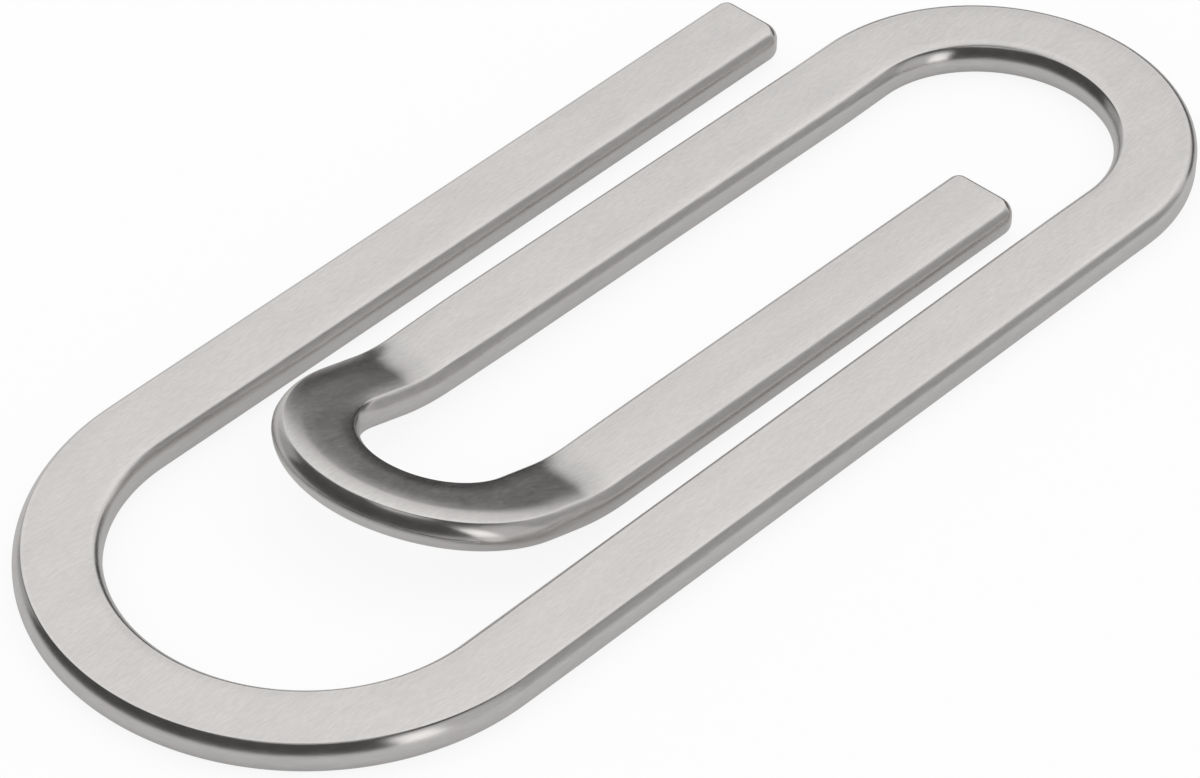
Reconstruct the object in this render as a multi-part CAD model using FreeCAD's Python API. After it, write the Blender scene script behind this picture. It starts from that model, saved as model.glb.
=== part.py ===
import FreeCAD, Part
import math
import os

# Money clip: one strip of spring stainless steel in the outline of an oversized paper clip.
#
# The strip is followed from its outer free end, round the big bend, along the side rail, round the
# top bend, down the tongue leg, round the turned-up nose and back to its inner free end.
# It is cut across into seven runs, each a closed solid, because the runs flex against each other.
#
# Millimetres. +X runs from the big bend towards the top bend, +Y from the side rail towards the
# outer arm, +Z up. The origin is under the middle of the outline, on the surface the clip lies on.

# Overall outline
overall_length = 64.2
overall_width = 25.4

# The strip's own section
strip_width = 3.85
thickness = 1.65
edge_round = 0.55

# Plan: gaps beside the inner loop, called the tongue, and where the two free ends stop short of
# the top bend's centre
arm_gap = 1.95
rail_gap = 1.3
arm_end_setback = 0.7
free_end_setback = 3.1
bend_lead = 2.0

# Plan: the nose of the tongue, a half-circle whose tip, before it is bent, is this far inside the
# big bend's centre
nose_ahead_of_bend_centre = 0.1
nose_straight = 1.95
nose_lead = 1.0

# How the tongue leaves the plane of the outer loop
tongue_rise_degrees = 0.7
tongue_rise_radius = 60.0
nose_bend_degrees = 15.2
nose_bend_radius = 10.0

# Corners of the two square-cut free ends, seen in plan
end_corner_radius = 1.0
end_corner_radius_small = 0.65

# The edges are never rounded by more than this share of the thickness, so a flat stays between them
largest_round_share = 0.45

# Two places this near each other are the same place
same_place = 1e-6


class StripRun:
    """One run of the strip, grown step by step from a section that stands across it."""

    def __init__(self, placement):
        """Start at a placement whose X is the heading, Y the width and Z the strip's upper side."""
        self.placement = placement
        self.solids = []

    def here(self):
        """Return the strip's section as a face, moved to where the run has got to."""
        face = strip_section()
        face.Placement = self.placement
        return face

    def forward(self, length):
        """Go straight on by a length."""
        heading = self.placement.Rotation.multVec(FreeCAD.Vector(1, 0, 0))
        step = heading * length
        self.solids.append(self.here().extrude(step))
        self.placement = FreeCAD.Placement(self.placement.Base + step, self.placement.Rotation)

    def turn_left(self, radius, degrees):
        """Curve to the left in the strip's own plane, about a centre at this radius."""
        self._revolve(FreeCAD.Vector(0, radius, 0), FreeCAD.Vector(0, 0, 1), degrees)

    def rise(self, radius, degrees):
        """Curve up out of the strip's plane, about a centre at this radius above mid-thickness."""
        self._revolve(FreeCAD.Vector(0, 0, radius), FreeCAD.Vector(0, -1, 0), degrees)

    def _revolve(self, local_centre, local_axis, degrees):
        """Sweep the section about an axis given in its own frame, and move on to its end."""
        centre = self.placement.multVec(local_centre)
        axis = self.placement.Rotation.multVec(local_axis)
        self.solids.append(self.here().revolve(centre, axis, degrees))
        turn = FreeCAD.Rotation(axis, degrees)
        base = centre + turn.multVec(self.placement.Base - centre)
        self.placement = FreeCAD.Placement(base, turn.multiply(self.placement.Rotation))

    def solid(self):
        """Return the steps so far as one solid."""
        shape = self.solids[0]
        if len(self.solids) > 1:
            shape = shape.multiFuse(self.solids[1:]).removeSplitter()
        return shape.Solids[0]


def edge_radius():
    """Radius on the strip's long edges, kept below half the thickness."""
    return min(edge_round, largest_round_share * thickness)


def strip_section():
    """Face across the strip, in the YZ plane and centred on the origin, with its corners rounded."""
    radius = edge_radius()
    corners = []
    for y_side, z_side in ((1, 1), (-1, 1), (-1, -1), (1, -1)):
        corners.append(FreeCAD.Vector(0, y_side * strip_width / 2, z_side * thickness / 2))
    edges = []
    for number, corner in enumerate(corners):
        after = corners[(number + 1) % len(corners)]
        before = corners[number - 1]
        towards_after = (after - corner).normalize()
        towards_before = (before - corner).normalize()
        arc_start = corner + towards_before * radius
        arc_end = corner + towards_after * radius
        centre = corner + (towards_before + towards_after) * radius
        arc_middle = centre + (corner - centre).normalize() * radius
        next_start = after - towards_after * radius
        edges.append(Part.Arc(arc_start, arc_middle, arc_end).toShape())
        edges.append(Part.LineSegment(arc_end, next_start).toShape())
    return Part.Face(Part.Wire(edges))


def heading_placement(x, y, z, degrees):
    """Placement on the strip's middle line, turned about Z so that its X is the heading."""
    return FreeCAD.Placement(FreeCAD.Vector(x, y, z), FreeCAD.Rotation(FreeCAD.Vector(0, 0, 1), degrees))


def free_strand(length, root, corner_left, corner_right):
    """Straight strand from a root placement to a square-cut end whose corners and edges are rounded.

    The two corner radii are those of the free end, left and right of the heading.
    """
    box = Part.makeBox(length, strip_width, thickness, FreeCAD.Vector(0, -strip_width / 2, -thickness / 2))
    box = box.makeFillet(corner_left, upright_edges(box, length, 1))
    box = box.makeFillet(corner_right, upright_edges(box, length, -1))
    strand = box.makeFillet(edge_radius(), rim_edges(box))
    strand.Placement = root
    return strand.Solids[0]


def upright_edges(box, length, side):
    """The edge that stands through the thickness at the free end, on one side of the strand."""
    found = []
    for edge in box.Edges:
        middle = edge.CenterOfMass
        at_end = abs(middle.x - length) < same_place
        on_side = abs(middle.y - side * strip_width / 2) < same_place
        if at_end and on_side and abs(middle.z) < same_place:
            found.append(edge)
    return found


def rim_edges(box):
    """Every edge of the upper and lower faces, except the two that lie across the root."""
    found = []
    for edge in box.Edges:
        on_face = abs(abs(edge.CenterOfMass.z) - thickness / 2) < same_place
        across_root = edge.BoundBox.XMax < same_place
        if on_face and not across_root:
            found.append(edge)
    return found


# Places that the runs share, all on the strip's middle line
middle_height = thickness / 2
big_bend_outer_radius = overall_width / 2
big_bend_radius = big_bend_outer_radius - strip_width / 2
big_bend_x = -overall_length / 2 + big_bend_outer_radius
arm_root_x = big_bend_x + bend_lead
rail_y = -big_bend_radius
tongue_leg_y = big_bend_radius - strip_width - arm_gap
free_leg_y = rail_y + strip_width + rail_gap
nose_radius = (tongue_leg_y - free_leg_y) / 2
top_bend_radius = (tongue_leg_y - rail_y) / 2
top_bend_x = overall_length / 2 - top_bend_radius - strip_width / 2
tongue_root_x = top_bend_x - bend_lead
arm_length = top_bend_x - arm_end_setback - arm_root_x

# Lengths along the tongue, measured before it is bent
nose_tip_x = big_bend_x + nose_ahead_of_bend_centre
nose_bend_length = nose_bend_radius * math.radians(nose_bend_degrees)
nose_root_x = nose_tip_x + strip_width / 2 + nose_radius + nose_straight + nose_bend_length + nose_lead
tongue_rise_length = tongue_rise_radius * math.radians(tongue_rise_degrees)
tongue_leg_straight = tongue_root_x - tongue_rise_length - nose_root_x
free_leg_length = top_bend_x - free_end_setback - nose_root_x


def make_outer_arm():
    """Outer strand, from the end of the big bend to its free end."""
    root = heading_placement(arm_root_x, big_bend_radius, middle_height, 0)
    return free_strand(arm_length, root, end_corner_radius_small, end_corner_radius)


def make_outer_bend():
    """Big half-circle between the outer arm and the side rail, with a short lead at each end."""
    run = StripRun(heading_placement(arm_root_x, big_bend_radius, middle_height, 180))
    run.forward(bend_lead)
    run.turn_left(big_bend_radius, 180)
    run.forward(bend_lead)
    return run


def make_side_rail(start):
    """Long outer strand from the big bend to the top bend."""
    run = StripRun(start)
    run.forward(tongue_root_x - arm_root_x)
    return run


def make_top_bend(start):
    """Half-circle that turns the strip inwards, with a short lead at each end."""
    run = StripRun(start)
    run.forward(bend_lead)
    run.turn_left(top_bend_radius, 180)
    run.forward(bend_lead)
    return run


def make_tongue_leg(start):
    """Middle strand: it leaves the outer loop at a slight rise and runs straight to the nose."""
    run = StripRun(start)
    run.rise(tongue_rise_radius, tongue_rise_degrees)
    run.forward(tongue_leg_straight)
    return run


def make_tongue_nose(start):
    """Small U-bend, turned up along a line across both of its legs."""
    run = StripRun(start)
    run.forward(nose_lead)
    run.rise(nose_bend_radius, nose_bend_degrees)
    run.forward(nose_straight)
    run.turn_left(nose_radius, 180)
    run.forward(nose_straight)
    run.rise(nose_bend_radius, nose_bend_degrees)
    run.forward(nose_lead)
    return run


def make_tongue_free_leg(start):
    """Innermost strand, from the nose to its free end."""
    return free_strand(free_leg_length, start, end_corner_radius_small, end_corner_radius)


def main():
    """Build the seven runs in order along the strip and write one STEP file for each."""
    outer_bend = make_outer_bend()
    side_rail = make_side_rail(outer_bend.placement)
    top_bend = make_top_bend(side_rail.placement)
    tongue_leg = make_tongue_leg(top_bend.placement)
    tongue_nose = make_tongue_nose(tongue_leg.placement)
    shapes = {
        "outer_arm": make_outer_arm(),
        "outer_bend": outer_bend.solid(),
        "side_rail": side_rail.solid(),
        "top_bend": top_bend.solid(),
        "tongue_leg": tongue_leg.solid(),
        "tongue_nose": tongue_nose.solid(),
        "tongue_free_leg": make_tongue_free_leg(tongue_nose.placement),
    }
    os.makedirs("parts", exist_ok=True)
    for node, shape in shapes.items():
        shape.exportStep("parts/" + node + ".step")
        box = shape.BoundBox
        print(node, "valid", shape.isValid(), "volume %.2f" % shape.Volume,
              "x %.2f %.2f" % (box.XMin, box.XMax), "y %.2f %.2f" % (box.YMin, box.YMax),
              "z %.2f %.2f" % (box.ZMin, box.ZMax))


main()
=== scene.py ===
"""Money clip: the finished look of one bent strip of satin stainless steel, built round its CAD frame.

The strip is followed in the direction it was laid out: outer arm, big bend, side rail, top bend,
tongue leg, turned-up nose, free leg. Everything is in metres in the frame's own axes: +X from the big
bend to the top bend, +Y from the side rail to the outer arm, +Z up.
"""

import logging
import math
from dataclasses import dataclass
from enum import Enum
from typing import Any

import bmesh
import bpy
from mathutils import Matrix, Vector

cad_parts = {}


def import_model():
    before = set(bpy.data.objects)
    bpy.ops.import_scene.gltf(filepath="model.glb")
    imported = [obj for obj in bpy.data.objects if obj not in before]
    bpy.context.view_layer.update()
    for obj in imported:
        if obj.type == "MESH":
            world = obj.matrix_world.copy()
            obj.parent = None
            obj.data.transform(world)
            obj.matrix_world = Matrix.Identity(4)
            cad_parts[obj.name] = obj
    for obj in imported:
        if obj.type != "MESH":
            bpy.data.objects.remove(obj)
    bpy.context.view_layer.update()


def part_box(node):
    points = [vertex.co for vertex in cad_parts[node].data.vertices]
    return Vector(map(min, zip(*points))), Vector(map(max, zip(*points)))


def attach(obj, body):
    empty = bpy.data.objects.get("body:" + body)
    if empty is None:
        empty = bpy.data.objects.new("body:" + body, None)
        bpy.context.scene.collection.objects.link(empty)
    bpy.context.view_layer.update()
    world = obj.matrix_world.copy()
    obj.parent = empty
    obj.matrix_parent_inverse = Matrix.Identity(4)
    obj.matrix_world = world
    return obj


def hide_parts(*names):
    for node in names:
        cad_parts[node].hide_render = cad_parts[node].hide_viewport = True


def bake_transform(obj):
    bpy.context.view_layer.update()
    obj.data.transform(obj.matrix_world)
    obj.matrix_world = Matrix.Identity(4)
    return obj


MM = 0.001
TINY = 1e-7
STRIP_ATTRIBUTE = "strip"
EDGE_ATTRIBUTE = "edge"
CREASE_ATTRIBUTE = "crease"
PLACE_ATTRIBUTE = "place"
NOSE_LEAD = 1.0 * MM
NOSE_BEND_RADIUS = 10 * MM
NOSE_DEGREES = 15.2
NOSE_STRAIGHT = 1.95 * MM
EDGE_ARC = 0.6 * MM
# Distance from a crease over which its real polish and its painted highlight fade out.
POLISH_AND_HIGHLIGHT_REACH = 0.2 * MM
FULL_SIDE = 0.9999
log = logging.getLogger("money_clip")


class Side(Enum):
    """A long edge of the strip, as a sign across it: its bends all turn left, towards the inner edge."""

    OUTER = -1
    INNER = 1


@dataclass(frozen=True)
class EdgeShape:
    """How one long edge has been ground and tumbled at one place along the strip.

    Args:
        crease: slope, in degrees, at which the rounded side leaves the ground face.
        crown: slope, in degrees, that the face itself has rolled over to when it meets the crease.
        crown_width: how far in from the crease the face begins to roll over, in metres.
    """

    crease: float
    crown: float
    crown_width: float = 0.8 * MM

    def mixed(self, other: "EdgeShape", share: float) -> "EdgeShape":
        """An edge between this one and another.

        Args:
            other: the other edge.
            share: how much of the other it has, from 0 to 1.

        Returns:
            The shape between the two.
        """
        return EdgeShape(
            crease=self.crease + (other.crease - self.crease) * share,
            crown=self.crown + (other.crown - self.crown) * share,
            crown_width=self.crown_width + (other.crown_width - self.crown_width) * share,
        )


@dataclass(frozen=True)
class Station:
    """The shapes of both long edges at one place along the strip.

    Args:
        along: distance along the strip, in metres from the outer arm's root.
        outer: shape of the outer edge there.
        inner: shape of the inner edge there.
    """

    along: float
    outer: EdgeShape
    inner: EdgeShape


@dataclass(frozen=True)
class Section:
    """The strip's cross-section: a flat bar with rounded sides, ground flat on both faces.

    Args:
        width: across the strip, in metres.
        thickness: through the strip, in metres.
        stations: edge shapes along the strip, in order.
        free_end: shape of the edge across a free end.
        crease_inset: how far in from the side the crease lies, in metres.
        edge_steps: facets round each rounded edge.
        side_steps: facets up the flat of each side.
        loops: distances in from the crease at which the faces are divided.
    """

    width: float
    thickness: float
    stations: tuple[Station, ...]
    free_end: EdgeShape
    crease_inset: float = 0.39 * MM
    edge_steps: int = 12
    side_steps: int = 3
    loops: tuple[float, ...] = (0.03 * MM, 0.1 * MM, 0.2 * MM, 0.35 * MM, 0.5 * MM, 0.7 * MM, 0.9 * MM)

    @property
    def crease_across(self) -> float:
        """How far the crease lies from the strip's middle line."""
        return self.width / 2 - self.crease_inset

    def edge_at(self, along: float, side: Side) -> EdgeShape:
        """The shape of one long edge at a distance along the strip, eased between stations.

        Args:
            along: distance along the strip.
            side: which long edge.

        Returns:
            The edge's shape there.
        """
        pick = [(s.along, s.outer if side is Side.OUTER else s.inner) for s in self.stations]
        for (start, before), (end, after) in zip(pick, pick[1:]):
            if along <= end:
                share = min(max((along - start) / (end - start), 0.0), 1.0)
                return before.mixed(after, share * share * (3 - 2 * share))
        return pick[-1][1]

    def side_share(self, inset: float, up: float) -> float:
        """How far a point of the plain bar lies into a rounded edge.

        Args:
            inset: distance in from the outline.
            up: height above the middle of the thickness.

        Returns:
            A share, from 0 on a face to 1 on a side.
        """
        into_side = self.crease_inset - inset
        into_face = abs(up) - (self.thickness / 2 - self.crease_inset)
        if into_side <= TINY:
            return 0.0
        return math.atan2(into_side, max(into_face, 0.0)) / (math.pi / 2)

    def place(self, inset: float, up: float, edge: EdgeShape) -> tuple[float, float]:
        """Move a point of the plain bevelled bar to where it lies on the ground and tumbled strip.

        Args:
            inset: distance in from the outline.
            up: height above the middle of the thickness.
            edge: the shape of the nearest long edge.

        Returns:
            The new inset and height.
        """
        half = self.thickness / 2
        crown = math.tan(math.radians(edge.crown))
        crown_drop = crown * edge.crown_width / 2
        start = math.radians(edge.crease)
        radius = self.crease_inset / (1 - math.sin(start))
        flat_top = half - crown_drop - radius * math.cos(start)
        share = self.side_share(inset, up)
        if share >= FULL_SIDE:
            return inset, up * flat_top / (half - self.crease_inset)
        if share > 0:
            angle = start + (math.pi / 2 - start) * share
            height = flat_top + radius * math.cos(angle)
            return radius * (1 - math.sin(angle)), math.copysign(height, up)
        short = max(edge.crown_width - (inset - self.crease_inset), 0.0)
        return inset, math.copysign(half - crown * short * short / (2 * edge.crown_width), up)


class Strip:
    """A bmesh whose vertices remember where they lie on the strip, for the edges and the grain."""

    def __init__(self, section: Section) -> None:
        """Start an empty mesh with the layers that the finish reads.

        Args:
            section: the strip's cross-section.
        """
        self.section = section
        self.bm = bmesh.new()
        layers = self.bm.verts.layers
        self.strip_layer = layers.float_vector.new(STRIP_ATTRIBUTE)
        self.edge_layer = layers.float.new(EDGE_ATTRIBUTE)
        self.crease_layer = layers.float.new(CREASE_ATTRIBUTE)
        self.place_layer = layers.float_vector.new(PLACE_ATTRIBUTE)

    def remember(
        self, vert: bmesh.types.BMVert, along: float, across: float, up: float, inset: float,
    ) -> None:
        """Write a vertex's place on the strip, its share of the side, and its nearness to a crease.

        Args:
            vert: the vertex.
            along: distance along the strip.
            across: distance from the middle line, positive towards the inner edge.
            up: height above the middle of the thickness, before the edges are worn.
            inset: distance in from the outline.
        """
        section = self.section
        share = section.side_share(inset, up)
        from_crease = abs(inset - section.crease_inset) if share == 0 else share * EDGE_ARC
        vert[self.strip_layer] = Vector((along, across, up))
        vert[self.edge_layer] = share
        vert[self.crease_layer] = max(0.0, 1 - from_crease / POLISH_AND_HIGHLIGHT_REACH)

    def divide(self, normal: Vector, places: list[float]) -> None:
        """Cut the mesh with planes, all facing one way, at distances from the origin."""
        for place in places:
            self.cut(normal * place, normal)

    def cut(self, place: Vector, normal: Vector, clear: bool = False) -> list[bmesh.types.BMEdge]:
        """Cut the mesh with one plane.

        Args:
            place: a point of the plane.
            normal: its direction.
            clear: whether to drop what lies behind it.

        Returns:
            The edges along the cut.
        """
        made = bmesh.ops.bisect_plane(
            self.bm, geom=[*self.bm.verts, *self.bm.edges, *self.bm.faces],
            dist=TINY / 10, plane_co=place, plane_no=normal, clear_inner=clear,
        )
        return [g for g in made["geom_cut"] if isinstance(g, bmesh.types.BMEdge)]

    def close(self, *rings: list[bmesh.types.BMEdge]) -> None:
        """Make the faces smooth, and close rings of edges with flat, hard-edged faces.

        Args:
            rings: the edges round each opening.
        """
        for face in self.bm.faces:
            face.smooth = True
        for ring in rings:
            for face in bmesh.ops.edgeloop_fill(self.bm, edges=ring)["faces"]:
                face.smooth = False
            for edge in ring:
                edge.smooth = False

    def to_object(self, name: str) -> bpy.types.Object:
        """Write each vertex's place at rest and turn the mesh into an object in the scene.

        Args:
            name: the object's and mesh's name.

        Returns:
            The new object, at the origin.
        """
        for vert in self.bm.verts:
            vert[self.place_layer] = vert.co
        bmesh.ops.recalc_face_normals(self.bm, faces=list(self.bm.faces))
        return object_from(self.bm, name)


class Sweep(Strip):
    """A length of strip grown ring by ring from a rounded section, with spins and extrusions."""

    def __init__(self, section: Section, start: Matrix, along: float) -> None:
        """Stand the first ring of the section across the strip.

        Args:
            section: the strip's cross-section.
            start: a matrix whose X is the heading, Y the width and Z the upper side.
            along: distance of this first ring along the whole strip.
        """
        super().__init__(section)
        self.frame = start.copy()
        self.along = along
        self.frames: list[Matrix] = []
        self.ring_layer = self.bm.verts.layers.int.new("ring")
        self.front = self._first_ring()
        self.first = list(self.front)
        self._note(self._front_verts())

    def _first_ring(self) -> list[bmesh.types.BMEdge]:
        """Make the bevelled rectangle, divided across its faces and sides.

        Returns:
            Its edges.
        """
        section = self.section
        made = bmesh.ops.create_grid(self.bm, x_segments=1, y_segments=1, size=0.5)
        bmesh.ops.scale(self.bm, verts=made["verts"], vec=(section.width, section.thickness, 1.0))
        bmesh.ops.bevel(
            self.bm, geom=list(self.bm.verts), offset=section.crease_inset, offset_type="OFFSET",
            segments=section.edge_steps, profile=0.5, affect="VERTICES", material=-1,
        )
        bmesh.ops.delete(self.bm, geom=list(self.bm.faces), context="FACES_ONLY")
        flat = section.crease_across
        self.divide(Vector((1, 0, 0)), [0.0, *(s * (flat - d) for s in (-1, 1) for d in section.loops)])
        sides = [e for e in self.bm.edges if self._is_side(e)]
        bmesh.ops.subdivide_edges(self.bm, edges=sides, cuts=section.side_steps - 1)
        stand = Matrix(((0, 0, 1, 0), (1, 0, 0, 0), (0, 1, 0, 0), (0, 0, 0, 1)))
        bmesh.ops.transform(self.bm, matrix=self.frame @ stand, verts=list(self.bm.verts))
        return list(self.bm.edges)

    def _is_side(self, edge: bmesh.types.BMEdge) -> bool:
        """Whether an edge of the flat rectangle is the flat of a side."""
        a, b = (v.co for v in edge.verts)
        return abs(a.x - b.x) < TINY and abs(a.x) > self.section.crease_across + TINY

    def _front_verts(self) -> list[bmesh.types.BMVert]:
        """The vertices of the ring that the sweep has reached."""
        return list({v for e in self.front for v in e.verts})

    def _note(self, verts: list[bmesh.types.BMVert]) -> None:
        """Record on a new ring's vertices where they lie on the strip.

        Args:
            verts: the ring's vertices.
        """
        back = self.frame.inverted()
        for vert in verts:
            local = back @ vert.co
            inset = self.section.width / 2 - abs(local.y)
            self.remember(vert, self.along, local.y, local.z, inset)
            vert[self.ring_layer] = len(self.frames)
        self.frames.append(self.frame.copy())

    def forward(self, length: float, steps: int) -> None:
        """Go straight on.

        Args:
            length: distance to go.
            steps: rings to make on the way.
        """
        stride = self.frame.to_3x3() @ Vector((length / steps, 0, 0))
        for _ in range(steps):
            made = bmesh.ops.extrude_edge_only(self.bm, edges=self.front)["geom"]
            verts = {g for g in made if isinstance(g, bmesh.types.BMVert)}
            edges = [g for g in made if isinstance(g, bmesh.types.BMEdge)]
            self.front = [e for e in edges if e.verts[0] in verts and e.verts[1] in verts]
            bmesh.ops.translate(self.bm, verts=list(verts), vec=stride)
            self.frame = Matrix.Translation(stride) @ self.frame
            self.along += length / steps
            self._note(list(verts))

    def turn_left(self, radius: float, degrees: float, steps: int) -> None:
        """Curve to the left in the strip's own plane, about a centre at this radius."""
        self._spin(Vector((0, radius, 0)), Vector((0, 0, 1)), radius, degrees, steps)

    def rise(self, radius: float, degrees: float, steps: int) -> None:
        """Curve up out of the strip's plane, about a centre at this radius above mid-thickness."""
        self._spin(Vector((0, 0, radius)), Vector((0, -1, 0)), radius, degrees, steps)

    def _spin(self, centre: Vector, axis: Vector, radius: float, degrees: float, steps: int) -> None:
        """Spin the leading ring about an axis given in its own frame, one ring at a time.

        Args:
            centre: a point of the axis.
            axis: its direction.
            radius: from the axis to the strip's middle line.
            degrees: how far to turn.
            steps: rings to make on the way.
        """
        world_centre = self.frame @ centre
        world_axis = (self.frame.to_3x3() @ axis).normalized()
        angle = math.radians(degrees) / steps
        turn = (
            Matrix.Translation(world_centre)
            @ Matrix.Rotation(angle, 4, world_axis)
            @ Matrix.Translation(-world_centre)
        )
        for _ in range(steps):
            made = bmesh.ops.spin(
                self.bm, geom=self.front, cent=world_centre, axis=world_axis, dvec=(0, 0, 0),
                angle=angle, steps=1, use_duplicate=False,
            )
            self.front = [g for g in made["geom_last"] if isinstance(g, bmesh.types.BMEdge)]
            self.frame = turn @ self.frame
            self.along += radius * angle
            self._note(self._front_verts())

    def _wear(self) -> None:
        """Give every ring the edges that the strip has at its place."""
        section = self.section
        for vert in self.bm.verts:
            along, across, up = vert[self.strip_layer]
            side = Side.INNER if across > 0 else Side.OUTER
            edge = section.edge_at(along, side)
            inset, height = section.place(section.width / 2 - abs(across), up, edge)
            new = Vector((0, side.value * (section.width / 2 - inset), height))
            vert.co = self.frames[vert[self.ring_layer]] @ new

    def finish(self, name: str) -> bpy.types.Object:
        """Wear the edges, close both ends and make the object.

        Args:
            name: the piece's name.

        Returns:
            The new object, with smooth sides and flat, hard-edged ends.
        """
        self._wear()
        self.close(self.first, self.front)
        return self.to_object(name)


class FreeStrand(Strip):
    """A straight strand with a square-cut free end: the outer arm or the tongue's free leg."""

    small_corner = 0.65 * MM
    large_corner = 1.0 * MM
    corner_steps = 8
    ring_spacing = 0.6 * MM
    spare = 3 * MM

    def __init__(self, section: Section, length: float, along: float, direction: int) -> None:
        """Plan a strand that starts at the origin and runs along +X, with its upper side up.

        Args:
            section: the strip's cross-section.
            length: from the cut at its root to the free end.
            along: distance along the strip at the cut.
            direction: 1 where the strip was followed towards the free end, -1 where away from it.
        """
        super().__init__(section)
        self.length = length
        self.along = along
        self.direction = direction

    def build(self, name: str, root: Matrix) -> bpy.types.Object:
        """Shape a bar by bevelling, insetting and cutting it, and stand it at its root.

        Args:
            name: the piece's name.
            root: a matrix at the cut whose X points to the free end and Z to the upper side.

        Returns:
            The new object.
        """
        section, bm = self.section, self.bm
        whole = self.length + self.spare
        made = bmesh.ops.create_cube(bm, size=1.0)
        bmesh.ops.scale(bm, verts=made["verts"], vec=(whole, section.width, section.thickness))
        bmesh.ops.translate(bm, verts=made["verts"], vec=(self.length - whole / 2, 0, 0))
        self._round_corner(1, self.small_corner)
        self._round_corner(-1, self.large_corner)
        faces = self._round_rims()
        self._ring_faces(faces)
        flat = section.crease_across
        across = [s * (flat - d) for s in (-1, 1) for d in section.loops[3:]]
        steps = round(self.length / self.ring_spacing)
        self.divide(Vector((0, 1, 0)), [0.0, *across])
        self.divide(Vector((1, 0, 0)), [self.length * i / steps for i in range(1, steps)])
        self.divide(Vector((1, 0, 0)), [self.length - section.crease_inset - d for d in section.loops[3:]])
        self.divide(Vector((0, 0, 1)), [0.0])
        self.close(self.cut(Vector((0, 0, 0)), Vector((1, 0, 0)), clear=True))
        self._wear()
        bmesh.ops.transform(bm, matrix=root, verts=list(bm.verts))
        return self.to_object(name)

    def _round_corner(self, side: int, radius: float) -> None:
        """Round one plan corner of the free end.

        Args:
            side: 1 for the corner left of the heading, -1 for the right one.
            radius: of the corner.
        """
        edges = []
        for edge in self.bm.edges:
            a, b = (v.co for v in edge.verts)
            upright = abs(a.x - b.x) < TINY and abs(a.y - b.y) < TINY
            if upright and abs(a.x - self.length) < TINY and a.y * side > 0:
                edges.append(edge)
        self._bevel(edges, radius, self.corner_steps)

    def _bevel(self, edges: list[bmesh.types.BMEdge], radius: float, steps: int) -> None:
        """Round some edges.

        Args:
            edges: the edges.
            radius: of the rounding.
            steps: facets round it.
        """
        bmesh.ops.bevel(
            self.bm, geom=edges, offset=radius, offset_type="OFFSET", segments=steps, profile=0.5,
            affect="EDGES", clamp_overlap=False, material=-1,
        )

    def _round_rims(self) -> list[bmesh.types.BMFace]:
        """Round every edge of the upper and lower faces.

        Returns:
            What is left of those two faces.
        """
        half = self.section.thickness / 2
        edges = []
        for edge in self.bm.edges:
            a, b = (v.co for v in edge.verts)
            if abs(a.z - b.z) < TINY and abs(abs(a.z) - half) < TINY:
                edges.append(edge)
        self._bevel(edges, self.section.crease_inset, self.section.edge_steps)
        return [f for f in self.bm.faces if all(abs(abs(v.co.z) - half) < TINY for v in f.verts)]

    def _ring_faces(self, faces: list[bmesh.types.BMFace]) -> None:
        """Inset both faces a few times, so that each crease has close loops beside it.

        Args:
            faces: the upper and lower faces.
        """
        before = 0.0
        for distance in self.section.loops[:3]:
            bmesh.ops.inset_region(
                self.bm, faces=faces, thickness=distance - before, use_even_offset=True,
                use_boundary=True,
            )
            before = distance

    def _outline(self, x: float, y: float) -> tuple[float, Vector]:
        """How far a plan point lies inside the strand's outline, and which way is straight out.

        Args:
            x: along the strand.
            y: across it.

        Returns:
            The distance in, and a unit vector outwards.
        """
        half = self.section.width / 2
        sign = 1.0 if y >= 0 else -1.0
        radius = self.small_corner if y >= 0 else self.large_corner
        corner = Vector((x - (self.length - radius), abs(y) - (half - radius)))
        if corner.x > 0 and corner.y > 0:
            out = corner.normalized()
            return radius - corner.length, Vector((out.x, out.y * sign, 0))
        if self.length - x < half - abs(y):
            return self.length - x, Vector((1, 0, 0))
        return half - abs(y), Vector((0, sign, 0))

    def _wear(self) -> None:
        """Write where each vertex lies on the strip, then give the strand its ground and tumbled edges."""
        section = self.section
        for vert in self.bm.verts:
            x, y, z = vert.co
            inset, outward = self._outline(x, y)
            along, across = self.along + self.direction * x, self.direction * y
            self.remember(vert, along, across, z, inset)
            edge = section.edge_at(along, Side.INNER if across > 0 else Side.OUTER)
            endward = max(outward.x, 0.0)
            new_inset, height = section.place(inset, z, edge.mixed(section.free_end, endward * endward))
            vert.co = Vector((x, y, height)) + outward * (inset - new_inset)


def object_from(bm: bmesh.types.BMesh, name: str) -> bpy.types.Object:
    """Turn a finished bmesh into an object in the scene.

    Args:
        bm: the mesh, which is freed.
        name: the object's and mesh's name.

    Returns:
        The new object.
    """
    mesh = bpy.data.meshes.new(name)
    bm.to_mesh(mesh)
    bm.free()
    thing = bpy.data.objects.new(name, mesh)
    bpy.context.scene.collection.objects.link(thing)
    return thing


def heading(place: Vector, degrees: float) -> Matrix:
    """A matrix at a place on the middle line, whose X is the heading turned this far from +X."""
    return Matrix.Translation(place) @ Matrix.Rotation(math.radians(degrees), 4, "Z")


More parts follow.
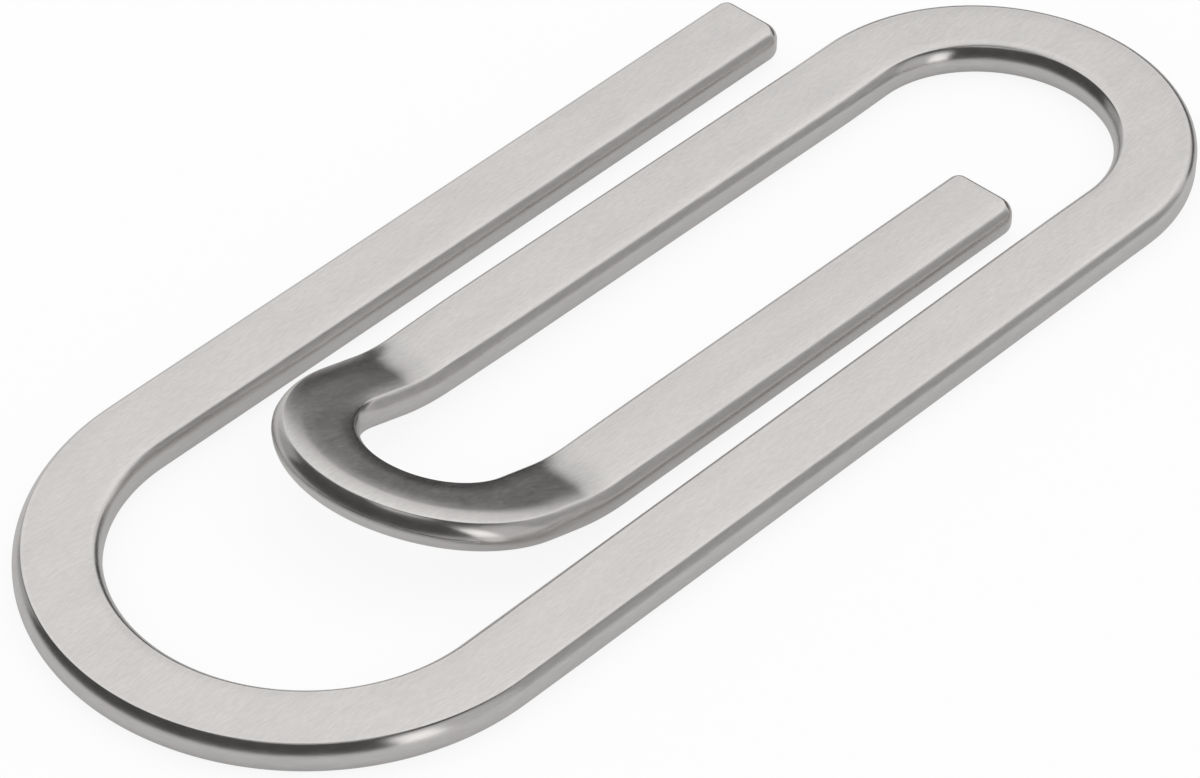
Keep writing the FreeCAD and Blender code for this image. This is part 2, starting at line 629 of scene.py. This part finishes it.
@dataclass(frozen=True)
class Layout:
    """Where the strip goes, read from the frame's boxes so that it lies where the CAD runs lie.

    Args:
        width: of the strip.
        thickness: of the strip.
        big_centre: centre of the big bend, on the strip's middle line.
        big_radius: radius of the big bend's middle line.
        top_centre: centre of the top bend.
        top_radius: radius of the top bend's middle line.
        arm_root: x of the cut between outer arm and big bend.
        arm_end: x of the outer arm's free end.
        tongue_root: x of the cut between top bend and tongue leg.
        tongue_y: y of the tongue leg's middle line.
        free_y: y of the free leg's middle line.
        free_root: lowest x of the cut between nose and free leg.
        free_end: x of the free leg's free end.
    """

    width: float
    thickness: float
    big_centre: Vector
    big_radius: float
    top_centre: Vector
    top_radius: float
    arm_root: float
    arm_end: float
    tongue_root: float
    tongue_y: float
    free_y: float
    free_root: float
    free_end: float

    @classmethod
    def from_frame(cls) -> "Layout":
        """Read the layout from the CAD nodes' boxes.

        Returns:
            The strip's layout in metres.
        """
        rail_low, rail_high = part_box("side_rail")
        arm_low, arm_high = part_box("outer_arm")
        bend_low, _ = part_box("outer_bend")
        _, top_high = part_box("top_bend")
        leg_low, leg_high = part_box("tongue_leg")
        free_low, free_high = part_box("tongue_free_leg")
        width = rail_high.y - rail_low.y
        middle = (rail_low.z + rail_high.z) / 2
        rail_y = (rail_low.y + rail_high.y) / 2
        arm_y = (arm_low.y + arm_high.y) / 2
        tongue_y = (leg_low.y + leg_high.y) / 2
        big_radius = (arm_y - rail_y) / 2
        top_radius = (tongue_y - rail_y) / 2
        return cls(
            width=width,
            thickness=rail_high.z - rail_low.z,
            big_centre=Vector((bend_low.x + width / 2 + big_radius, (arm_y + rail_y) / 2, middle)),
            big_radius=big_radius,
            top_centre=Vector((top_high.x - width / 2 - top_radius, (tongue_y + rail_y) / 2, middle)),
            top_radius=top_radius,
            arm_root=arm_low.x,
            arm_end=arm_high.x,
            tongue_root=rail_high.x,
            tongue_y=tongue_y,
            free_y=(free_low.y + free_high.y) / 2,
            free_root=free_low.x,
            free_end=free_high.x,
        )

    @property
    def big_bend_start(self) -> float:
        """Distance along the strip at which the big bend begins."""
        return self.arm_root - self.big_centre.x

    @property
    def rail_start(self) -> float:
        """Distance along the strip at which the side rail begins."""
        return self.big_bend_start + math.pi * self.big_radius

    @property
    def top_bend_start(self) -> float:
        """Distance along the strip at which the top bend begins."""
        return self.rail_start + self.top_centre.x - self.big_centre.x

    @property
    def leg_start(self) -> float:
        """Distance along the strip at which the tongue leg begins."""
        return self.top_bend_start + math.pi * self.top_radius

    @property
    def nose_start(self) -> float:
        """Distance along the strip at which the nose begins."""
        return self.leg_start + self.top_centre.x - self.free_root

    @property
    def nose_end(self) -> float:
        """Distance along the strip at which the nose ends and the free leg begins.

        Returns:
            The distance in metres.
        """
        bend = NOSE_BEND_RADIUS * math.radians(NOSE_DEGREES)
        arch = math.pi * (self.tongue_y - self.free_y) / 2
        return self.nose_start + 2 * (NOSE_LEAD + bend + NOSE_STRAIGHT) + arch


def worn_section(layout: Layout) -> Section:
    """The strip's section, with its edges ground and tumbled as each run of it has been.

    Args:
        layout: where the strip goes.

    Returns:
        The section.
    """
    crisp = EdgeShape(crease=24, crown=3)
    arm = EdgeShape(crease=20, crown=16, crown_width=0.45 * MM)
    big_bend = EdgeShape(crease=35, crown=5)
    rail = EdgeShape(crease=24, crown=14, crown_width=0.45 * MM)
    rail_far = EdgeShape(crease=16, crown=14, crown_width=0.45 * MM)
    top_outer = EdgeShape(crease=14, crown=4)
    top_inner = EdgeShape(crease=34, crown=17, crown_width=0.45 * MM)
    leg = EdgeShape(crease=15, crown=10, crown_width=0.5 * MM)
    nose_outer = EdgeShape(crease=35, crown=16, crown_width=1.05 * MM)
    nose_fade = EdgeShape(crease=30, crown=8, crown_width=0.8 * MM)
    nose_inner = EdgeShape(crease=30, crown=6)
    free = EdgeShape(crease=22, crown=19, crown_width=0.65 * MM)
    ease = 4 * MM
    return Section(
        width=layout.width,
        thickness=layout.thickness,
        free_end=EdgeShape(crease=24, crown=3, crown_width=0.3 * MM),
        stations=(
            Station(0.0, crisp, arm),
            Station(layout.big_bend_start + ease, big_bend, arm),
            Station(layout.rail_start - ease, big_bend, crisp),
            Station(layout.rail_start + ease, rail, crisp),
            Station(layout.top_bend_start - ease, rail_far, crisp),
            Station(layout.top_bend_start + ease, top_outer, top_inner),
            Station(layout.leg_start - ease, top_outer, top_inner),
            Station(layout.leg_start + ease, crisp, leg),
            Station(layout.nose_start - ease, crisp, leg),
            Station(layout.nose_start + ease, nose_outer, nose_inner),
            Station(layout.nose_end - 3 * ease, nose_outer, nose_inner),
            Station(layout.nose_end - ease, nose_fade, nose_inner),
            Station(layout.nose_end + ease, free, crisp),
        ),
    )


@dataclass
class Part:
    """A piece of the clip.

    Args:
        layout: where the strip goes.
        section: the strip's section.
        steel: its finish.
    """

    layout: Layout
    section: Section
    steel: "SatinSteel"

    def settle(self, thing: bpy.types.Object, *nodes: str) -> bpy.types.Object:
        """Give a piece its finish and hide the CAD runs that it stands for.

        Args:
            thing: the piece.
            nodes: the CAD nodes that it replaces.

        Returns:
            The same piece.
        """
        self.steel.dress(thing)
        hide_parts(*nodes)
        return thing


@dataclass
class OuterLoop(Part):
    """Big bend, side rail and top bend: the part of the strip that lies flat and carries the rest.

    Args:
        bend_steps: rings round each bend.
        rail_steps: rings along the rail.
        lead_steps: rings along the short straight at each end.
    """

    bend_steps: int = 150
    rail_steps: int = 50
    lead_steps: int = 3

    def build(self) -> tuple[bpy.types.Object, Sweep]:
        """Sweep the loop from the outer arm's root to the tongue's root.

        Returns:
            The piece, and the sweep, which ended at the tongue's root.
        """
        lay = self.layout
        start = Vector((lay.arm_root, lay.big_centre.y + lay.big_radius, lay.big_centre.z))
        sweep = Sweep(self.section, heading(start, 180), 0.0)
        sweep.forward(lay.arm_root - lay.big_centre.x, self.lead_steps)
        sweep.turn_left(lay.big_radius, 180, self.bend_steps)
        sweep.forward(lay.top_centre.x - lay.big_centre.x, self.rail_steps)
        sweep.turn_left(lay.top_radius, 180, self.bend_steps)
        sweep.forward(lay.top_centre.x - lay.tongue_root, self.lead_steps)
        thing = sweep.finish("outer_loop_steel")
        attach(thing, "outer_loop")
        return self.settle(thing, "outer_bend", "side_rail", "top_bend"), sweep


@dataclass
class OuterArm(Part):
    """The short outer strand, with a square-cut free end."""

    def build(self) -> bpy.types.Object:
        """Shape the strand and stand it at its root.

        Returns:
            The piece.
        """
        lay = self.layout
        root = Vector((lay.arm_root, lay.big_centre.y + lay.big_radius, lay.big_centre.z))
        strand = FreeStrand(self.section, lay.arm_end - lay.arm_root, 0.0, -1)
        thing = strand.build("outer_arm_steel", heading(root, 0))
        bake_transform(thing)
        return self.settle(thing, "outer_arm")


@dataclass
class Tongue(Part):
    """Tongue leg and turned-up nose.

    Args:
        rise_degrees: how far the tongue climbs out of the loop's plane.
        rise_radius: of that first gentle bend.
        rise_steps: rings along it.
        leg_steps: rings along the tongue leg.
        bend_steps: rings along each of the nose's bends.
        arch_steps: rings round the nose's arch.
        short_steps: rings along each short straight.
    """

    rise_degrees: float = 0.7
    rise_radius: float = 60 * MM
    rise_steps: int = 4
    leg_steps: int = 50
    bend_steps: int = 24
    arch_steps: int = 130
    short_steps: int = 6

    def build(self, along: float) -> tuple[bpy.types.Object, Sweep]:
        """Sweep the tongue from the top bend to the free leg's root.

        Args:
            along: distance along the strip at the tongue's root.

        Returns:
            The piece, and the sweep, which ended at the free leg's root.
        """
        lay = self.layout
        slope = math.radians(self.rise_degrees)
        root = Vector((lay.tongue_root, lay.tongue_y, lay.big_centre.z))
        leg_end = lay.free_root + lay.thickness / 2 * math.sin(slope)
        climb = self.rise_radius * math.sin(slope)
        sweep = Sweep(self.section, heading(root, 180), along)
        sweep.rise(self.rise_radius, self.rise_degrees, self.rise_steps)
        sweep.forward((lay.tongue_root - climb - leg_end) / math.cos(slope), self.leg_steps)
        sweep.forward(NOSE_LEAD, self.short_steps)
        sweep.rise(NOSE_BEND_RADIUS, NOSE_DEGREES, self.bend_steps)
        sweep.forward(NOSE_STRAIGHT, self.short_steps)
        sweep.turn_left((lay.tongue_y - lay.free_y) / 2, 180, self.arch_steps)
        sweep.forward(NOSE_STRAIGHT, self.short_steps)
        sweep.rise(NOSE_BEND_RADIUS, NOSE_DEGREES, self.bend_steps)
        sweep.forward(NOSE_LEAD, self.short_steps)
        thing = sweep.finish("tongue_steel")
        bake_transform(thing)
        return self.settle(thing, "tongue_leg", "tongue_nose"), sweep


@dataclass
class FreeLeg(Part):
    """The innermost strand, from the nose to its square-cut free end."""

    def build(self, root: Matrix, along: float) -> bpy.types.Object:
        """Shape the strand and stand it where the nose ended.

        Args:
            root: where the nose ended.
            along: distance along the strip there.

        Returns:
            The piece.
        """
        start = root.translation
        slope = (root.to_3x3() @ Vector((1, 0, 0))).x
        strand = FreeStrand(self.section, (self.layout.free_end - start.x) / slope, along, 1)
        thing = strand.build("free_leg_steel", root)
        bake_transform(thing)
        return self.settle(thing, "tongue_free_leg")


class Mix(Enum):
    """What a mixing node mixes."""

    NUMBER = "FLOAT"
    VECTOR = "VECTOR"
    COLOUR = "RGBA"


MIX_SOCKETS = {Mix.NUMBER: (2, 3, 0), Mix.VECTOR: (4, 5, 1), Mix.COLOUR: (6, 7, 2)}


class Nodes:
    """A small helper that adds and links shader nodes in one line each."""

    def __init__(self, tree: bpy.types.NodeTree) -> None:
        """Start on an empty tree."""
        self.tree = tree
        tree.nodes.clear()

    def add(self, kind: str, inputs: dict[Any, Any] | None = None, **settings: Any) -> bpy.types.Node:
        """Add a node, set its properties, and set or link its inputs.

        Args:
            kind: the node's type name.
            inputs: socket name or index to a value or to another node's output socket.
            settings: properties of the node.

        Returns:
            The new node.
        """
        node = self.tree.nodes.new(kind)
        for key, value in settings.items():
            setattr(node, key, value)
        for key, value in (inputs or {}).items():
            if isinstance(value, bpy.types.NodeSocket):
                self.tree.links.new(value, node.inputs[key])
            else:
                node.inputs[key].default_value = value
        return node

    def math(self, operation: str, *values: Any) -> bpy.types.NodeSocket:
        """A Math node on one to three values or sockets, returning its output."""
        return self.add("ShaderNodeMath", dict(enumerate(values)), operation=operation).outputs[0]

    def vector(self, operation: str, inputs: dict[Any, Any]) -> bpy.types.Node:
        """A Vector Math node."""
        return self.add("ShaderNodeVectorMath", inputs, operation=operation)

    def attribute(self, name: str) -> Any:
        """The outputs of a mesh attribute."""
        return self.add("ShaderNodeAttribute", attribute_name=name).outputs

    def ramp(self, value: Any, low: float, high: float, to_low: float, to_high: float) -> Any:
        """Map a value from one range to another, clamped and eased.

        Args:
            value: the value's socket.
            low: start of its range.
            high: end of its range.
            to_low: result at the start.
            to_high: result at the end.

        Returns:
            The result's socket.
        """
        node = self.add(
            "ShaderNodeMapRange",
            {"Value": value, "From Min": low, "From Max": high, "To Min": to_low, "To Max": to_high},
            interpolation_type="SMOOTHSTEP",
        )
        return node.outputs["Result"]

    def mix(self, kind: Mix, share: Any, first: Any, second: Any) -> Any:
        """Mix two numbers, vectors or colours.

        Args:
            kind: what is mixed.
            share: how much of the second there is, from 0 to 1.
            first: value or socket of the first.
            second: value or socket of the second.

        Returns:
            The result's socket.
        """
        low, high, out = MIX_SOCKETS[kind]
        node = self.add("ShaderNodeMix", {0: share, low: first, high: second}, data_type=kind.value)
        return node.outputs[out]

    def noise(self, place: Any, scale: tuple[float, float, float], detail: float, roughness: float) -> Any:
        """Noise stretched by a scale in each direction.

        Args:
            place: the socket of the coordinates, in metres.
            scale: features per metre in each direction.
            detail: layers of finer noise.
            roughness: how strong the finer layers are.

        Returns:
            The noise's socket.
        """
        space = self.add("ShaderNodeMapping", {"Vector": place, "Scale": scale}).outputs["Vector"]
        made = self.add(
            "ShaderNodeTexNoise", {"Vector": space, "Scale": 1.0, "Detail": detail, "Roughness": roughness},
        )
        return made.outputs["Fac"]


@dataclass(frozen=True)
class SatinSteel:
    """Satin stainless steel: brushed along its length on the faces, tumbled smooth round its sides.

    Args:
        colour: reflectance of the bare steel.
        face_roughness: of the brushed faces.
        side_roughness: of the tumbled sides.
        anisotropy: how much rougher it is across the brush lines than along them.
        grain_depth: height of the brush lines, in metres.
        grain_contrast: how much darker and lighter than the rest the brush lines are.
        mottle_contrast: the same for the broad, faint patches.
        crease_highlight: how much lighter the steel is painted along a crease, a painted highlight on the
            rubbed edge.
        polish_smoothing: how much less rough a crease is.
        mottle_roughness: spread of roughness over the patches.
        grain_roughness: spread of roughness over the brush lines.
        side_begins: share of an edge's rounding at which the brushed face ends.
        face_scale: brush lines per metre along x, y and z.
        side_scale: lines per metre along, across and through the strip.
        mottle_scale: patches per metre along x, y and z.
    """

    colour: tuple[float, float, float] = (0.71, 0.689, 0.675)
    face_roughness: float = 0.21
    side_roughness: float = 0.22
    anisotropy: float = 0.85
    grain_depth: float = 0.003 * MM
    grain_contrast: float = 0.05
    mottle_contrast: float = 0.025
    crease_highlight: float = 0.08
    polish_smoothing: float = 0.05
    mottle_roughness: float = 0.06
    grain_roughness: float = 0.08
    side_begins: float = 0.02
    face_scale: tuple[float, float, float] = (2200, 9500, 9500)
    side_scale: tuple[float, float, float] = (1200, 8000, 8000)
    mottle_scale: tuple[float, float, float] = (220, 700, 700)

    def material(self) -> bpy.types.Material:
        """Build the material at the first call, and find it again at later ones.

        Returns:
            The material.
        """
        known = bpy.data.materials.get("satin_steel_finish")
        if known:
            return known
        made = bpy.data.materials.new("satin_steel_finish")
        made.use_nodes = True
        nodes = Nodes(made.node_tree)
        place = nodes.attribute(PLACE_ATTRIBUTE)["Vector"]
        strip = nodes.attribute(STRIP_ATTRIBUTE)["Vector"]
        edge = nodes.attribute(EDGE_ATTRIBUTE)["Fac"]
        crease = nodes.attribute(CREASE_ATTRIBUTE)["Fac"]
        side = nodes.math("GREATER_THAN", edge, self.side_begins)
        face_grain = nodes.noise(place, self.face_scale, detail=3.0, roughness=0.65)
        side_grain = nodes.noise(strip, self.side_scale, detail=3.0, roughness=0.6)
        grain = nodes.mix(Mix.NUMBER, side, face_grain, side_grain)
        mottle = nodes.noise(place, self.mottle_scale, detail=4.0, roughness=0.55)
        broad = nodes.ramp(mottle, 0.3, 0.7, 0.0, 1.0)
        dark, light = self._shade(-self.mottle_contrast), self._shade(self.mottle_contrast)
        tint = nodes.mix(Mix.COLOUR, broad, dark, light)
        # Along the creases the steel is rubbed: less rough, which is real wear, and lighter in colour,
        # which is a painted highlight; the mottle breaks both up.
        wear_and_highlight = nodes.math("MULTIPLY", crease, nodes.ramp(mottle, 0.25, 0.75, 0.3, 1.0))
        tint = nodes.mix(Mix.COLOUR, wear_and_highlight, tint, self._shade(self.crease_highlight))
        lines = nodes.ramp(grain, 0.25, 0.75, 1 - self.grain_contrast, 1 + self.grain_contrast)
        tint = nodes.vector("SCALE", {0: tint, "Scale": lines}).outputs[0]
        rough = nodes.mix(Mix.NUMBER, side, self.face_roughness, self.side_roughness)
        for pattern, spread in ((mottle, self.mottle_roughness), (grain, self.grain_roughness)):
            rough = nodes.math("ADD", rough, nodes.math("MULTIPLY_ADD", pattern, spread, -spread / 2))
        rough = nodes.math("ADD", rough, nodes.math("MULTIPLY", wear_and_highlight, -self.polish_smoothing))
        bump = nodes.add(
            "ShaderNodeBump", {"Strength": 0.5, "Distance": self.grain_depth, "Height": grain},
        ).outputs["Normal"]
        across = nodes.mix(Mix.VECTOR, side, (0.0, 1.0, 0.0), (0.0, 0.0, 1.0))
        shader = nodes.add(
            "ShaderNodeBsdfPrincipled",
            {
                "Base Color": tint, "Metallic": 1.0, "Roughness": rough, "Normal": bump,
                "Anisotropic": self.anisotropy, "Tangent": across,
            },
        )
        nodes.add("ShaderNodeOutputMaterial", {"Surface": shader.outputs["BSDF"]})
        return made

    def _shade(self, change: float) -> tuple[float, float, float, float]:
        """The steel's colour, made lighter or darker by a share."""
        red, green, blue = (min(1.0, part * (1 + change)) for part in self.colour)
        return red, green, blue, 1.0

    def dress(self, thing: bpy.types.Object) -> None:
        """Give a piece this finish."""
        thing.data.materials.clear()
        thing.data.materials.append(self.material())


@dataclass(frozen=True)
class Card:
    """A soft-edged panel of the studio that only reflections show: a soft box, a reflector or a flag.

    Args:
        azimuth: of its middle, in degrees from +X towards +Y.
        half_width: degrees of azimuth from its middle to its side.
        side_softness: degrees over which its sides fade.
        top: elevation of its top edge, in degrees.
        top_softness: degrees over which that edge fades.
        level: its brightness, where 1 is white.
        bottom: elevation of its bottom edge, which the floor hides unless it is above 0.
        bottom_softness: degrees over which that edge fades.
    """

    azimuth: float
    half_width: float
    side_softness: float
    top: float
    top_softness: float
    level: float
    bottom: float = -60
    bottom_softness: float = 20

    def share(self, nodes: Nodes, direction: Any, height: Any) -> bpy.types.NodeSocket:
        """How much of this card a direction sees.

        Args:
            nodes: where to add the nodes.
            direction: socket of the level direction, as a unit vector.
            height: socket of the sine of the direction's elevation.

        Returns:
            The socket of a share from 0 to 1.
        """
        turn = math.radians(self.azimuth)
        towards = (math.cos(turn), math.sin(turn), 0.0)
        facing = nodes.vector("DOT_PRODUCT", {0: direction, 1: towards}).outputs["Value"]
        outside = math.cos(math.radians(self.half_width + self.side_softness / 2))
        inside = math.cos(math.radians(self.half_width - self.side_softness / 2))
        across = nodes.ramp(facing, outside, inside, 0.0, 1.0)
        above = nodes.ramp(height, *self._edge(self.bottom, self.bottom_softness), 0.0, 1.0)
        below = nodes.ramp(height, *self._edge(self.top, self.top_softness), 1.0, 0.0)
        return nodes.math("MULTIPLY", across, nodes.math("MULTIPLY", above, below))

    @staticmethod
    def _edge(elevation: float, softness: float) -> tuple[float, float]:
        """The heights between which a level edge fades.

        Args:
            elevation: of its middle, in degrees.
            softness: degrees over which it fades.

        Returns:
            The sines of the two elevations.
        """
        low, high = elevation - softness / 2, elevation + softness / 2
        return math.sin(math.radians(low)), math.sin(math.radians(high))


CARDS = (
    Card(azimuth=92, half_width=16, side_softness=10, top=30, top_softness=10, level=0.38),
    Card(azimuth=-50, half_width=54, side_softness=16, top=50, top_softness=16, level=0.37),
    Card(azimuth=-80, half_width=20, side_softness=14, top=50, top_softness=16, level=0.56),
    Card(azimuth=-98, half_width=8, side_softness=6, top=42, top_softness=14, level=1.25,
         bottom=2, bottom_softness=10),
    Card(azimuth=28, half_width=50, side_softness=20, top=24, top_softness=4, level=0.6),
    Card(azimuth=28, half_width=48, side_softness=20, top=40, top_softness=6, level=0.8,
         bottom=20, bottom_softness=3),
    Card(azimuth=28, half_width=48, side_softness=24, top=65, top_softness=12, level=0.94,
         bottom=38, bottom_softness=5),
    Card(azimuth=17, half_width=32, side_softness=7, top=21, top_softness=2.5, level=0.025,
         bottom=-8, bottom_softness=10),
)


@dataclass
class Studio:
    """Pale floor, surroundings, soft lamp and camera.

    Args:
        azimuth: of the camera, in degrees from -Y towards +X.
        elevation: of the camera above the floor.
        roll: of the camera about its line of sight.
        distance: from the camera to its aim.
        lens: focal length in millimetres on a 36 mm sensor.
        aim: what the camera points at.
        floor_size: length of the floor's side.
        floor_drop: how far the floor lies below the clip, so that the two never share a plane.
        sky_level: brightness of the surroundings in reflections, where no card covers them.
        zenith_level: their brightness straight overhead.
        zenith_fade: elevations between which the one turns into the other.
        floor_level: lightness of the floor in reflections.
        floor_fill: share of that lightness that nothing shades.
        floor_glow: share of the floor's own white that the camera sees, the rest being lit paint.
        floor_paint: lightness of that paint.
        lamp_place: where the lamp hangs; it points at the origin.
        lamp_size: its diameter.
        lamp_power: in watts.
    """

    azimuth: float = -48.366
    elevation: float = 41.107
    roll: float = -1.372
    distance: float = 256.19 * MM
    lens: float = 174.0
    aim: tuple[float, float, float] = (-2.917 * MM, -1.684 * MM, 0.8 * MM)
    floor_size: float = 2.0
    floor_drop: float = 0.02 * MM
    sky_level: float = 0.06
    zenith_level: float = 0.6
    zenith_fade: tuple[float, float] = (73, 84)
    floor_level: float = 0.62
    floor_fill: float = 0.45
    floor_glow: float = 0.88
    floor_paint: float = 0.85
    lamp_place: tuple[float, float, float] = (0.1, 0.15, 0.6)
    lamp_size: float = 0.5
    lamp_power: float = 0.3

    def build(self) -> None:
        """Set up the camera, floor, surroundings and lamp."""
        scene = bpy.context.scene
        scene.view_settings.view_transform = "Standard"
        self._camera(scene)
        self._floor()
        self._world(scene)
        self._lamp(scene)

    def _camera(self, scene: bpy.types.Scene) -> None:
        """Place the camera at the viewing angle.

        Args:
            scene: the scene that it looks at.
        """
        a, e = math.radians(self.azimuth), math.radians(self.elevation)
        back = Vector((math.sin(a) * math.cos(e), -math.cos(a) * math.cos(e), math.sin(e)))
        data = bpy.data.cameras.new("camera")
        data.sensor_width = 36.0
        data.lens = self.lens
        data.clip_start = 0.01
        camera = bpy.data.objects.new("camera", data)
        scene.collection.objects.link(camera)
        look = (-back).to_track_quat("-Z", "Y").to_matrix().to_4x4()
        spin = Matrix.Rotation(math.radians(-self.roll), 4, "Z")
        camera.matrix_world = Matrix.Translation(Vector(self.aim) + back * self.distance) @ look @ spin
        scene.camera = camera

    def _floor(self) -> None:
        """A plain pale floor that keeps the object's shadow."""
        bm = bmesh.new()
        bmesh.ops.create_grid(bm, x_segments=1, y_segments=1, size=self.floor_size / 2)
        bmesh.ops.translate(bm, verts=list(bm.verts), vec=(0, 0, -self.floor_drop))
        floor = object_from(bm, "floor")
        made = bpy.data.materials.new("pale_floor")
        made.use_nodes = True
        nodes = Nodes(made.node_tree)
        rays = nodes.add("ShaderNodeLightPath").outputs
        paint = nodes.add("ShaderNodeBsdfDiffuse", {"Color": (*(self.floor_paint,) * 3, 1.0)}).outputs[0]
        white = nodes.add("ShaderNodeEmission", {"Strength": 1.0}).outputs[0]
        lit = nodes.add("ShaderNodeBsdfDiffuse", {"Color": (*(self.floor_level,) * 3, 1.0)}).outputs[0]
        even = nodes.add("ShaderNodeEmission", {"Strength": self.floor_level}).outputs[0]
        seen = nodes.math("MULTIPLY", rays["Is Camera Ray"], self.floor_glow)
        grey = nodes.add("ShaderNodeMixShader", {0: self.floor_fill, 1: lit, 2: even}).outputs[0]
        shown = nodes.add("ShaderNodeMixShader", {0: seen, 1: paint, 2: white}).outputs[0]
        shown = nodes.add("ShaderNodeMixShader", {0: rays["Is Glossy Ray"], 1: shown, 2: grey}).outputs[0]
        nodes.add("ShaderNodeOutputMaterial", {"Surface": shown})
        floor.data.materials.append(made)

    def _world(self, scene: bpy.types.Scene) -> None:
        """White surroundings, but for reflections a dark studio with panels in it.

        Args:
            scene: the scene that they surround.
        """
        world = bpy.data.worlds.new("studio")
        world.use_nodes = True
        scene.world = world
        nodes = Nodes(world.node_tree)
        rays = nodes.add("ShaderNodeLightPath").outputs
        direction = nodes.add("ShaderNodeTexCoord").outputs["Generated"]
        height = nodes.add("ShaderNodeSeparateXYZ", {0: direction}).outputs["Z"]
        flat = nodes.vector("MULTIPLY", {0: direction, 1: (1.0, 1.0, 0.0)}).outputs["Vector"]
        around = nodes.vector("NORMALIZE", {0: flat}).outputs["Vector"]
        low, high = (math.sin(math.radians(elevation)) for elevation in self.zenith_fade)
        level = nodes.ramp(height, low, high, self.sky_level, self.zenith_level)
        for card in CARDS:
            level = nodes.mix(Mix.NUMBER, card.share(nodes, around, height), level, card.level)
        shown = nodes.mix(Mix.NUMBER, rays["Is Glossy Ray"], 1.0, level)
        back = nodes.add("ShaderNodeBackground", {"Color": (1, 1, 1, 1), "Strength": shown}).outputs[0]
        nodes.add("ShaderNodeOutputWorld", {"Surface": back})

    def _lamp(self, scene: bpy.types.Scene) -> None:
        """One large soft lamp overhead, for the floor's shadow; the steel reflects the cards instead.

        Args:
            scene: the scene that it lights.
        """
        data = bpy.data.lights.new("soft_lamp", "AREA")
        data.shape = "DISK"
        data.size = self.lamp_size
        data.energy = self.lamp_power
        lamp = bpy.data.objects.new("soft_lamp", data)
        scene.collection.objects.link(lamp)
        place = Vector(self.lamp_place)
        lamp.matrix_world = Matrix.Translation(place) @ place.to_track_quat("Z", "Y").to_matrix().to_4x4()
        lamp.visible_glossy = False


def main() -> None:
    """Build the clip in order along its strip, then the studio round it."""
    logging.basicConfig(level=logging.INFO, format="%(name)s %(message)s")
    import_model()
    layout = Layout.from_frame()
    section = worn_section(layout)
    steel = SatinSteel()

    arm = OuterArm(layout, section, steel).build()
    loop, loop_sweep = OuterLoop(layout, section, steel).build()
    tongue, tongue_sweep = Tongue(layout, section, steel).build(loop_sweep.along)
    leg = FreeLeg(layout, section, steel).build(tongue_sweep.frame, tongue_sweep.along)
    for piece in (arm, loop, tongue, leg):
        size = ", ".join(f"{d / MM:.2f}" for d in piece.dimensions)
        log.info("%s: %s mm, %d faces", piece.name, size, len(piece.data.polygons))
    Studio().build()


if __name__ == "__main__":
    main()
